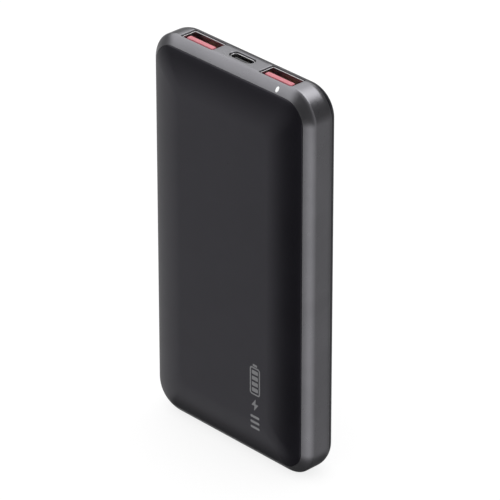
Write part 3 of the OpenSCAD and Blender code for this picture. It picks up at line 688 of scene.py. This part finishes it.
# ------------------------------------------------------------------ button
def build_button():
    face_x = -WIDTH / 2 + 0.06
    loops = [button_loop(BTN_W, BTN_L, x, 14) for x in (-SIDE_IN + 0.2, face_x + BTN_EDGE)]
    for out, rise in quarter(6, 1):
        c = BTN_EDGE * out
        loops.append(button_loop(BTN_W - 2 * c, BTN_L - 2 * c,
                                 face_x + BTN_EDGE - BTN_EDGE * rise, 14))
    # shallow dish in the face: (share of the face width, depth)
    face_w, face_l = BTN_W - 2 * BTN_EDGE, BTN_L - 2 * BTN_EDGE
    for share, depth in ((0.86, 0.012), (0.7, 0.05), (0.5, 0.085), (0.3, 0.1)):
        loops.append(button_loop(face_w * share, face_l - face_w * (1 - share),
                                 face_x + depth, 14))
    button = loft(loops, "power_button_cap")
    flange = box((-SIDE_IN + 0.05, -1.6, BTN_Z - 3.6),
                 (-SIDE_IN + 0.75, PCB_Y - 0.2, BTN_Z + 3.6), 0.12)
    arm = box((-SIDE_IN + 0.7, PCB_Y - 1.25, BTN_Z - 1.2), (-31.1, PCB_Y - 0.4, BTN_Z + 1.2))
    boolean(button, [flange, arm], "UNION")
    clean(button)
    finish(button, "frame_plastic", "power_button", body="button")


# ------------------------------------------------------------------ light windows
def build_status_window():
    """Small lens flush with the top shoulder, with its guide below."""
    loops = [[(DOT_X + DOT_R * c, DOT_Y + DOT_R * s, HEIGHT - 2.8) for c, s in circle(28)]]
    # (share of the radius, drop below the shoulder)
    for share, drop in ((1.0, 0.06), (0.97, 0.03), (0.85, 0), (0.62, 0), (0.32, 0), (0.06, 0)):
        loop = []
        for c, s in circle(28):
            x, y = DOT_X + DOT_R * share * c, DOT_Y + DOT_R * share * s
            loop.append((x, y, shoulder_height(y) - drop + 0.015 * (1 - share * share)))
        loops.append(loop)
    lens = loft(loops, "status_window")
    # bars differ by 0.001 so that no faces lie in one plane
    y0, y1 = LEDGE_Y + 0.05, LEDGE_Y + 0.9
    bars = [box((DOT_X - 0.6, y0, HEIGHT - 6.25), (DOT_X + 0.6, y1, HEIGHT - 2.1), 0.08),
            box((DOT_X - 0.599, y0 + 0.001, HEIGHT - 6.249),
                (DOT_X + 6.3, y1 - 0.001, HEIGHT - 5), 0.08),
            box((DOT_X + 5, y0 + 0.002, HEIGHT - 6.248),
                (DOT_X + 6.299, PCB_Y - 0.8, HEIGHT - 5.001), 0.08)]
    boolean(lens, bars, "UNION")
    clean(lens)
    finish(lens, "light_guide", "status_light_guide")


def build_level_windows():
    """Charge level windows: a row of short rods on one bar inside the wall."""
    bar = box((-SIDE_IN + 0.05, -0.6, LED_Z0 - 0.7),
              (-SIDE_IN + 1.3, PCB_Y - 0.1, LED_Z0 + 3 * LED_PITCH + 0.7), 0.12,
              name="level_windows")
    # domed end: (share of the radius, depth)
    dome = ((1, 0.1), (0.96, 0.055), (0.84, 0.03), (0.55, 0.012), (0.1, 0.004))
    sections = [(-SIDE_IN + 0.2, 1)] + [(-WIDTH / 2 + 0.02 + d, share) for share, d in dome]
    rods = []
    for i in range(LED_COUNT):
        z = LED_Z0 + i * LED_PITCH
        rods.append(loft([[(x, BTN_Y + LED_R * share * c, z + LED_R * share * s)
                           for c, s in circle(28)] for x, share in sections]))
    boolean(bar, rods, "UNION")
    clean(bar)
    finish(bar, "light_guide", "level_light_guide")


# ------------------------------------------------------------------ printed marks on the front
MARK_X = 14.0
INK_Y0, INK_Y1 = FRONT_Y - 0.018, FRONT_Y + 0.004
BOLT = [(0.35, 2.1), (-1.5, -0.35), (-0.2, -0.35), (-0.35, -2.1), (1.5, 0.35), (0.2, 0.35)]


def ink_loop(outline, z, y):
    return [(MARK_X + p[0], y, z + p[1]) for p in outline]


def ink_patch(outline, z):
    return loft([ink_loop(outline, z, y) for y in (INK_Y0, INK_Y1)])


def ink_outline(z, width, height, radius, line):
    outer = round_rect(width, height, radius, 6)
    inner = round_rect(width - 2 * line, height - 2 * line, max(radius - line, 0.1), 6)
    return loft([ink_loop(outer, z, INK_Y0), ink_loop(outer, z, INK_Y1),
                 ink_loop(inner, z, INK_Y1), ink_loop(inner, z, INK_Y0)], closed=True)


def build_pictograms():
    """An outlined cell with a cap and four bars, a bolt, and three bars below."""
    parts = [ink_outline(28.8, 4.4, 9.6, 0.9, 0.5),
             ink_patch(round_rect(1.9, 0.8, 0.25, 4), 34.25)]
    parts += [ink_patch(round_rect(2.6, 1.35, 0.25, 4), 25.8 + k * 2.0) for k in range(4)]
    parts.append(ink_patch(BOLT, 20.6))
    parts += [ink_patch(round_rect(3.8, 0.85, 0.3, 4), 12.6 + k * 1.9) for k in range(3)]
    marks = join("front_pictograms", parts)
    clean(marks)
    # lay the marks on the curve of the margin above the bottom edge
    for v in marks.data.vertices:
        v.co.y += (front_depth(v.co.z / MM) - FRONT_Y) * MM
    finish(marks, "white_film", angle=30, weighted=False)


build_front_cover()
build_mid_frame()
build_rear_cover()
for tag, x in (("left", -PORT_PITCH), ("right", PORT_PITCH)):
    build_usb_a_can(tag, x)
    build_usb_a_tongue(tag, x)
    build_usb_a_contacts(tag, x)
build_usb_c_can()
build_usb_c_tongue()
build_button()
build_status_window()
build_level_windows()
build_pictograms()


# ------------------------------------------------------------------ materials
class Nodes:
    """Shorthand for building a node tree."""

    def __init__(self, tree):
        self.tree = tree
        tree.nodes.clear()

    def add(self, kind, inputs=(), **props):
        node = self.tree.nodes.new(kind)
        for key, value in props.items():
            setattr(node, key, value)
        for key, value in dict(inputs).items():
            self.set(node, key, value)
        return node

    def set(self, node, key, value):
        """Links a socket, or sets a value; a colour of three numbers gets an alpha of 1."""
        socket = node.inputs[key]
        if isinstance(value, bpy.types.NodeSocket):
            self.tree.links.new(value, socket)
        elif isinstance(value, tuple) and len(value) < len(socket.default_value):
            socket.default_value = (*value, 1)
        else:
            socket.default_value = value

    def math(self, operation, a, b, clamp=False):
        node = self.add("ShaderNodeMath", {0: a, 1: b}, operation=operation, use_clamp=clamp)
        return node.outputs[0]

    def plus(self, a, b):
        return self.math("ADD", a, b)

    def times(self, value, by, clamp=False):
        return self.math("MULTIPLY", value, by, clamp)

    def ramp(self, x, lo, hi, start=0.0, end=1.0, kind="SMOOTHSTEP"):
        """Runs from start to end as x goes from lo to hi."""
        return self.add("ShaderNodeMapRange", {"Value": x, "From Min": lo, "From Max": hi,
                                               "To Min": start, "To Max": end},
                        interpolation_type=kind).outputs[0]

    def mix(self, factor, a, b):
        """Blend of two colours."""
        return self.add("ShaderNodeMix", {0: factor, 6: a, 7: b}, data_type="RGBA").outputs[2]

    def fade(self, factor, a, b):
        """Blend of two numbers."""
        return self.add("ShaderNodeMix", {0: factor, 2: a, 3: b}, data_type="FLOAT").outputs[0]

    def in_mm(self, vector, stretch=(1, 1, 1)):
        scale = tuple(1000 * s for s in stretch)
        return self.add("ShaderNodeVectorMath", {0: vector, 1: scale},
                        operation="MULTIPLY").outputs[0]

    def noise(self, vector, scale, detail=2.0, rough=0.5, warp=0.0):
        return self.add("ShaderNodeTexNoise", {"Vector": vector, "Scale": scale, "Detail": detail,
                                               "Roughness": rough, "Distortion": warp}).outputs[0]

    def voronoi(self, vector, scale, feature="F1", random=1.0):
        return self.add("ShaderNodeTexVoronoi", {"Vector": vector, "Scale": scale,
                                                 "Randomness": random},
                        feature=feature).outputs["Distance"]


def tint(colour, factor):
    return tuple(max(0.0, min(1.0, x * factor)) for x in colour)


def board_pattern(net, point, base, colour):
    """Copper runs under the mask, and vias. Returns the colour and the mask of the gaps."""
    across, along = [net.add("ShaderNodeSeparateXYZ", {0: point}).outputs[i] for i in (0, 2)]
    flat = net.add("ShaderNodeCombineXYZ", {0: across, 1: along}).outputs[0]
    runs = net.add("ShaderNodeTexBrick",
                   {"Vector": flat, "Scale": 0.55, "Mortar Size": 0.035, "Brick Width": 1.6,
                    "Row Height": 0.42, "Mortar Smooth": 0.1},
                   offset=0.37, squash=0.8, squash_frequency=3).outputs["Fac"]
    colour = net.mix(net.times(runs, by=0.8), colour, tint(base, factor=2.3))
    via = net.ramp(net.voronoi(point, scale=0.42, random=0.9), lo=0.13, hi=0.17, start=1, end=0)
    via_gold = (0.55, 0.42, 0.18)
    return net.mix(net.times(via, by=0.75), colour, via_gold), runs


def foam_pattern(net, point, base, colour):
    """Pores darkened with painted shade, as if shade fell inside them. Returns the colour and the
    mask of the pores.
    """
    pore = net.ramp(net.voronoi(point, scale=1.7), lo=0.0, hi=0.45, start=1, end=0)
    return net.mix(net.times(pore, by=0.7), colour, tint(base, factor=0.25)), pore


def material(name, base, rough=0.45, metal=0.0, spec=0.5, drift=0.10, grain=(3.0, 0.02),
             cell=None, mid=(0.9, 0.006), smudge=0.05, wear=0.5, wear_col=None, wear_r=0.3,
             stretch=None, coat=0.0, subsurface=0.0, painted_glow=0.0, round_r=0.0, pattern=None,
             sheen=0.0, gloss_tint=(1, 1, 1)):
    """A surface with grain, uneven gloss, worn edges and slow colour drift.

    grain, cell and mid are (scale per mm, height in mm) of three kinds of relief; stretch
    scales the axes of the finer relief; wear_r and round_r are edge radii in mm.
    """
    mat = bpy.data.materials.new(name)
    mat.use_nodes = True
    net = Nodes(mat.node_tree)
    coords = net.add("ShaderNodeTexCoord").outputs["Object"]
    point = net.in_mm(coords)
    fine = net.in_mm(coords, stretch) if stretch else point

    # colour
    slow = net.noise(point, scale=0.055, detail=3, rough=0.55, warp=0.4)
    colour = net.mix(net.ramp(slow, lo=0.3, hi=0.7), tint(base, 1 - drift), tint(base, 1 + drift))
    speck = net.noise(point, scale=2.4, detail=2, rough=0.6)
    colour = net.mix(net.ramp(speck, lo=0.45, hi=0.75, start=0, end=0.35), colour,
                     tint(base, factor=1 + 1.6 * drift))
    if pattern == "board":
        colour, runs = board_pattern(net, point, base, colour)
    # the foam pattern paints shade into the pores
    if pattern == "foam":
        colour, pore = foam_pattern(net, point, base, colour)

    # gloss
    blotch = net.noise(point, scale=0.09, detail=4, rough=0.6, warp=1.2)
    gloss = net.plus(rough - smudge, net.times(blotch, by=2 * smudge))
    streak = net.noise(fine, scale=1.7, detail=3, rough=0.65)
    gloss = net.plus(gloss, net.times(net.math("SUBTRACT", streak, b=0.5), by=smudge * 1.3))

    # worn and rounded edges
    normal = None
    if wear > 0 or round_r > 0:
        geometry = net.add("ShaderNodeNewGeometry")
        bevel = net.add("ShaderNodeBevel", {"Radius": max(wear_r, round_r) * MM}, samples=6)
        facing = net.add("ShaderNodeVectorMath",
                         {0: bevel.outputs[0], 1: geometry.outputs["Normal"]},
                         operation="DOT_PRODUCT")
        edge = net.ramp(facing.outputs["Value"], lo=0.99, hi=0.86)
        patchy = net.noise(point, scale=0.55, detail=4, rough=0.7)
        edge = net.times(edge, net.ramp(patchy, lo=0.35, hi=0.65, start=0.25, end=1.0))
        edge = net.times(edge, by=wear, clamp=True)
        colour = net.mix(edge, colour, wear_col or tint(base, factor=1.9))
        gloss = net.math("SUBTRACT", gloss, net.times(edge, by=0.12))
        if round_r > 0:
            normal = bevel.outputs[0]
    gloss = net.math("MAXIMUM", gloss, b=0.06)

    # relief
    height = net.times(net.noise(fine, scale=grain[0], detail=3, rough=0.6), by=grain[1])
    if cell:
        cells = net.voronoi(fine, scale=cell[0], feature="SMOOTH_F1")
        height = net.plus(height, net.times(cells, by=cell[1]))
    if pattern == "foam":
        height = net.math("SUBTRACT", height, net.times(pore, by=0.12))
    if pattern == "board":
        height = net.plus(height, net.times(runs, by=-0.02))
    if pattern == "crinkle":
        crinkle = net.noise(point, scale=0.22, detail=4, rough=0.55, warp=2.0)
        height = net.plus(height, net.times(crinkle, by=0.10))
    bump = net.add("ShaderNodeBump", {"Strength": 1.0, "Distance": MM, "Height": height})
    if normal is not None:
        net.set(bump, "Normal", normal)
    waves = net.times(net.noise(point, scale=mid[0], detail=2, rough=0.5), by=mid[1])
    bump = net.add("ShaderNodeBump", {"Strength": 1.0, "Distance": MM, "Height": waves,
                                      "Normal": bump.outputs[0]})

    shader = net.add("ShaderNodeBsdfPrincipled", {
        "Base Color": colour, "Metallic": metal, "Roughness": gloss, "IOR": 1.46,
        "Specular IOR Level": spec, "Normal": bump.outputs[0], "Coat Weight": coat,
        "Coat Roughness": 0.2, "Specular Tint": gloss_tint, "Sheen Weight": sheen})
    if subsurface:
        net.set(shader, "Subsurface Weight", subsurface)
        net.set(shader, "Subsurface Radius", (0.8, 0.8, 0.9))
        net.set(shader, "Subsurface Scale", 0.0008)
    # painted glow: emission makes the part shine though it is no lamp
    if painted_glow:
        net.set(shader, "Emission Color", base)
        net.set(shader, "Emission Strength", painted_glow)
    net.add("ShaderNodeOutputMaterial", {"Surface": shader.outputs[0]})
    return mat


SHELL_RELIEF = dict(grain=(3.4, 0.006), cell=(2.6, 0.005), mid=(0.7, 0.005))
WIRE = dict(rough=0.35, grain=(1.2, 0.02), stretch=(1, 1, 0.4), wear=0.2, round_r=0.1)
FINISHES = {
    "cover_plastic": dict(
        base=(0.0060, 0.0057, 0.0074), rough=0.30, gloss_tint=(0.88, 0.845, 1.0), smudge=0.045,
        wear_col=(0.03, 0.03, 0.033), **SHELL_RELIEF),
    "frame_plastic": dict(
        base=(0.160, 0.158, 0.169), rough=0.29, metal=0.85, drift=0.06, smudge=0.04,
        wear_col=(0.24, 0.24, 0.25), wear_r=0.35, **SHELL_RELIEF),
    "black_adhesive": dict(
        base=(0.012, 0.012, 0.012), rough=0.7, spec=0.3, wear=0, grain=(2.0, 0.02)),
    "pouch_foil": dict(
        base=(0.55, 0.56, 0.58), rough=0.34, metal=0.85, grain=(4.0, 0.006), pattern="crinkle",
        smudge=0.08, wear=0.3, round_r=0.5),
    "nickel": dict(
        base=(0.60, 0.57, 0.50), rough=0.32, metal=1.0, stretch=(6, 6, 0.3), grain=(2.0, 0.01),
        wear=0.4, round_r=0.04),
    "amber_tape": dict(
        base=(0.62, 0.33, 0.04), rough=0.18, spec=0.6, grain=(1.2, 0.01), mid=(0.3, 0.03),
        smudge=0.06, wear=0.2, round_r=0.05, coat=0.4),
    "green_board": dict(
        base=(0.012, 0.085, 0.042), rough=0.26, spec=0.55, pattern="board", grain=(6.0, 0.004),
        wear_col=(0.45, 0.40, 0.22), coat=0.3, round_r=0.1),
    "chip_black": dict(
        base=(0.018, 0.018, 0.019), rough=0.5, grain=(9.0, 0.008), cell=(7.0, 0.004),
        wear_col=(0.06, 0.06, 0.06), round_r=0.08),
    # its pores get painted shade from the foam pattern
    "black_foam": dict(
        base=(0.022, 0.022, 0.023), rough=0.9, spec=0.2, pattern="foam", grain=(3.0, 0.05),
        sheen=0.3, wear=0.2, round_r=0.3),
    "white_adhesive": dict(
        base=(0.72, 0.71, 0.67), rough=0.6, grain=(1.5, 0.03), wear=0.2, round_r=0.06),
    "steel_screw": dict(
        base=(0.56, 0.56, 0.57), rough=0.28, metal=1.0, grain=(6.0, 0.006),
        wear_col=(0.78, 0.78, 0.78), round_r=0.06),
    "white_film": dict(
        base=(0.70, 0.70, 0.66), rough=0.35, grain=(2.5, 0.008), mid=(0.25, 0.02), wear=0.2,
        round_r=0.04),
    "socket_steel": dict(
        base=(0.42, 0.415, 0.425), rough=0.33, metal=1.0, stretch=(5, 5, 0.6),
        grain=(1.6, 0.006), smudge=0.06, wear_col=(0.60, 0.60, 0.61), wear_r=0.12),
    "red_tongue": dict(
        base=(0.56, 0.165, 0.195), rough=0.36, drift=0.12, grain=(6.0, 0.004),
        wear_col=(0.70, 0.40, 0.43), wear_r=0.18, subsurface=0.15),
    "gold_contact": dict(
        base=(0.80, 0.56, 0.20), rough=0.22, metal=1.0, stretch=(4, 4, 0.4), grain=(3.0, 0.004),
        wear_col=(0.90, 0.74, 0.42), wear_r=0.1),
    "black_nylon": dict(
        base=(0.016, 0.016, 0.017), rough=0.42, grain=(6.0, 0.006), wear=0.4,
        wear_col=(0.07, 0.07, 0.07), wear_r=0.12, round_r=0.06),
    "moulded_core": dict(
        base=(0.075, 0.075, 0.080), rough=0.62, grain=(5.0, 0.03), cell=(4.0, 0.02), wear=0.6,
        wear_col=(0.18, 0.17, 0.16), round_r=0.2),
    "capacitor_can": dict(
        base=(0.62, 0.62, 0.64), rough=0.30, metal=1.0, stretch=(3, 3, 0.5), grain=(2.0, 0.006),
        round_r=0.2),
    "ceramic_chip": dict(
        base=(0.36, 0.22, 0.12), grain=(8.0, 0.006), wear=0.7, wear_col=(0.65, 0.63, 0.6),
        round_r=0.06),
    "led_cream": dict(
        base=(0.80, 0.76, 0.50), rough=0.25, grain=(6.0, 0.003), wear=0.3, round_r=0.06,
        subsurface=0.3),
    # the light guides get a painted glow, standing in for lit LEDs behind them
    "light_guide": dict(
        base=(0.88, 0.89, 0.90), rough=0.30, grain=(5.0, 0.002), mid=(1.4, 0.004), smudge=0.04,
        wear=0.2, subsurface=0.35, painted_glow=0.10),
    "red_insulation": dict(base=(0.45, 0.020, 0.018), **WIRE),
    "black_insulation": dict(base=(0.016, 0.016, 0.016), **WIRE),
    "black_epoxy": dict(
        base=(0.012, 0.012, 0.012), rough=0.14, grain=(1.5, 0.01), wear=0, spec=0.6),
    "amber_enamel": dict(
        base=(0.48, 0.30, 0.05), rough=0.22, grain=(3.0, 0.01), metal=0.4, wear=0, coat=0.4),
    "printed_grey": dict(
        base=(0.155, 0.156, 0.162), rough=0.46, spec=0.4, grain=(7.0, 0.004),
        mid=(1.2, 0.003), wear=0, smudge=0.04),
}
made = {name: material(name, **values) for name, values in FINISHES.items()}

for obj, slot in pieces:
    obj.data.materials.clear()
    obj.data.materials.append(made["printed_grey" if obj.name == "front_pictograms" else slot])
for name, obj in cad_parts.items():
    for slot in obj.material_slots:
        key = slot.material.name.split(".")[0] if slot.material else ""
        if key not in made:
            raise SystemExit(f"no finish for slot {key!r} of {name}")
        slot.material = made[key]


# ------------------------------------------------------------------ world light
scene.view_settings.view_transform = "Standard"
scene.view_settings.look = "None"

# What glossy surfaces mirror, as (position, strength) points.
# off the table, by bearing in degrees: 0 in front, 90 on the right
TABLE = [(-180, 0.26), (-162, 0.28), (-140, 0.35), (-100, 0.52), (-75, 0.68), (-58, 0.76),
         (-50, 0.75), (-44, 0.66), (-38, 0.52), (-31, 0.20), (-22, 0.04), (0, 0.015),
         (15, 0.03), (25, 0.60), (33, 1.60), (43, 1.60), (58, 1.15), (75, 0.86), (95, 0.62),
         (115, 0.54), (131, 0.52), (147, 0.32), (165, 0.24), (180, 0.26)]
# by height of the direction, -1 straight down to 1 straight up
UNDER = [(-1.0, 0.03), (-0.80, 0.06), (-0.735, 0.26), (-0.66, 0.88), (-0.60, 1.0), (1.0, 1.0)]
ABOVE_LEFT = [(-0.4, 0.58), (-0.2, 0.44), (0.0, 0.30), (0.26, 0.16), (0.34, 0.45), (0.42, 1.6),
              (0.50, 2.1), (0.72, 2.1), (0.80, 2.6), (1.0, 2.6)]
ABOVE_BACK = [(-0.4, 0.42), (-0.22, 0.28), (-0.08, 0.08), (0.30, 0.04), (0.50, 0.06),
              (0.64, 0.12), (0.70, 1.1), (0.76, 5.0), (0.86, 5.4), (1.0, 3.6)]
# by the direction's y, -1 front to 1 rear
ABOVE_SIDE = [(-1.0, 0.04), (-0.55, 0.05), (-0.25, 0.45), (0.0, 0.55), (1.0, 0.55)]
CURVE_TOP = 6.0    # strength that a full white ramp colour stands for


def curve(net, x, lo, hi, stops):
    """Strength read off a smooth line through the stops."""
    place = net.ramp(x, lo, hi, kind="LINEAR")
    node = net.add("ShaderNodeValToRGB", {0: place})
    node.color_ramp.interpolation = "EASE"
    elements = node.color_ramp.elements
    while len(elements) < len(stops):
        elements.new(0.5)
    for element, (position, _) in zip(elements, stops):
        element.position = (position - lo) / (hi - lo)
    for element, (_, strength) in zip(elements, stops):
        element.color = (*(strength / CURVE_TOP,) * 3, 1)
    return net.times(node.outputs[0], by=CURVE_TOP)


def build_world():
    world = bpy.data.worlds.new("studio")
    scene.world = world
    world.use_nodes = True
    world.cycles.sampling_method = "NONE"
    net = Nodes(world.node_tree)
    direction = net.add("ShaderNodeTexCoord").outputs["Generated"]
    x, y, z = net.add("ShaderNodeSeparateXYZ", {0: direction}).outputs

    angle = net.math("ARCTAN2", x, net.times(y, by=-1.0))
    bearing = net.math("DIVIDE", net.times(angle, by=180), b=math.pi) if False else \
        net.times(angle, by=180 / math.pi)
    table = net.times(curve(net, bearing, lo=-180, hi=180, stops=TABLE),
                      curve(net, z, lo=-1, hi=1, stops=UNDER))
    left = curve(net, z, lo=-1, hi=1, stops=ABOVE_LEFT)
    behind = curve(net, z, lo=-1, hi=1, stops=ABOVE_BACK)
    aside = net.fade(net.ramp(y, lo=0.15, hi=0.45),
                     curve(net, y, lo=-1, hi=1, stops=ABOVE_SIDE), behind)
    above = net.fade(net.ramp(x, lo=-0.56, hi=-0.12), left, aside)
    mirrored = net.fade(net.ramp(z, lo=-0.38, hi=-0.18), table, above)

    # diffuse light: even all round, stronger from above
    even, overhead = 0.55, 0.95
    diffuse = net.plus(even, net.times(net.math("MAXIMUM", z, b=0.0), by=overhead))
    path = net.add("ShaderNodeLightPath")
    light = net.fade(path.outputs["Is Glossy Ray"], diffuse, mirrored)
    seen = net.fade(path.outputs["Is Camera Ray"], light, b=1.0)
    sky = net.add("ShaderNodeBackground", {"Color": (1.0, 1.0, 1.0), "Strength": seen})
    net.add("ShaderNodeOutputWorld", {"Surface": sky.outputs[0]})


# ------------------------------------------------------------------ floor
def build_floor():
    half = 4000
    floor = mesh_object("floor", [(-half, -half, 0), (half, -half, 0), (half, half, 0),
                                  (-half, half, 0)], [(0, 1, 2, 3)])
    floor.location.z = CAD_LO.z - 0.00002    # metres, just clear of the body
    mat = bpy.data.materials.new("pale_floor")
    mat.use_nodes = True
    net = Nodes(mat.node_tree)
    point = net.in_mm(net.add("ShaderNodeTexCoord").outputs["Object"])
    dark, pale = (0.21, 0.21, 0.21), (0.22, 0.22, 0.22)
    tone = net.mix(net.ramp(net.noise(point, scale=0.004), lo=0.3, hi=0.7), dark, pale)
    shader = net.add("ShaderNodeBsdfPrincipled", {
        "Base Color": tone, "Roughness": 0.8, "Specular IOR Level": 0.1,
        "Emission Color": (1, 1, 1), "Emission Strength": 0.80})
    net.add("ShaderNodeOutputMaterial", {"Surface": shader.outputs[0]})
    floor.data.materials.append(mat)
    floor.visible_glossy = False


# ------------------------------------------------------------------ camera
AZIMUTH, ELEVATION, ROLL = math.radians(46.431), math.radians(28.611), math.radians(-0.051)
DISTANCE, SHIFT_RIGHT, SHIFT_UP = 1263.723, 2.559, 0.652
SENSOR_W = 36
FOCAL_RATIO = 8.4573    # focal length over sensor width


def build_camera():
    """Looks from the front right and above at the middle of the body."""
    back = Vector((math.sin(AZIMUTH) * math.cos(ELEVATION),
                   -math.cos(AZIMUTH) * math.cos(ELEVATION), math.sin(ELEVATION)))
    right = Vector((math.cos(AZIMUTH), math.sin(AZIMUTH), 0))
    up = back.cross(right)
    place = Vector((0, 0, HEIGHT / 2)) + back * DISTANCE + right * SHIFT_RIGHT + up * SHIFT_UP
    rolled_right = right * math.cos(ROLL) + up * math.sin(ROLL)
    rolled_up = up * math.cos(ROLL) - right * math.sin(ROLL)
    data = bpy.data.cameras.new("camera")
    data.sensor_width = SENSOR_W
    data.lens = SENSOR_W * FOCAL_RATIO
    data.clip_start, data.clip_end = 0.05, 50
    camera = bpy.data.objects.new("camera", data)
    rows = [(rolled_right[i], rolled_up[i], back[i], place[i] * MM) for i in range(3)]
    camera.matrix_world = Matrix(rows + [(0, 0, 0, 1)])
    scene.collection.objects.link(camera)
    scene.camera = camera


build_world()
build_floor()
build_camera()
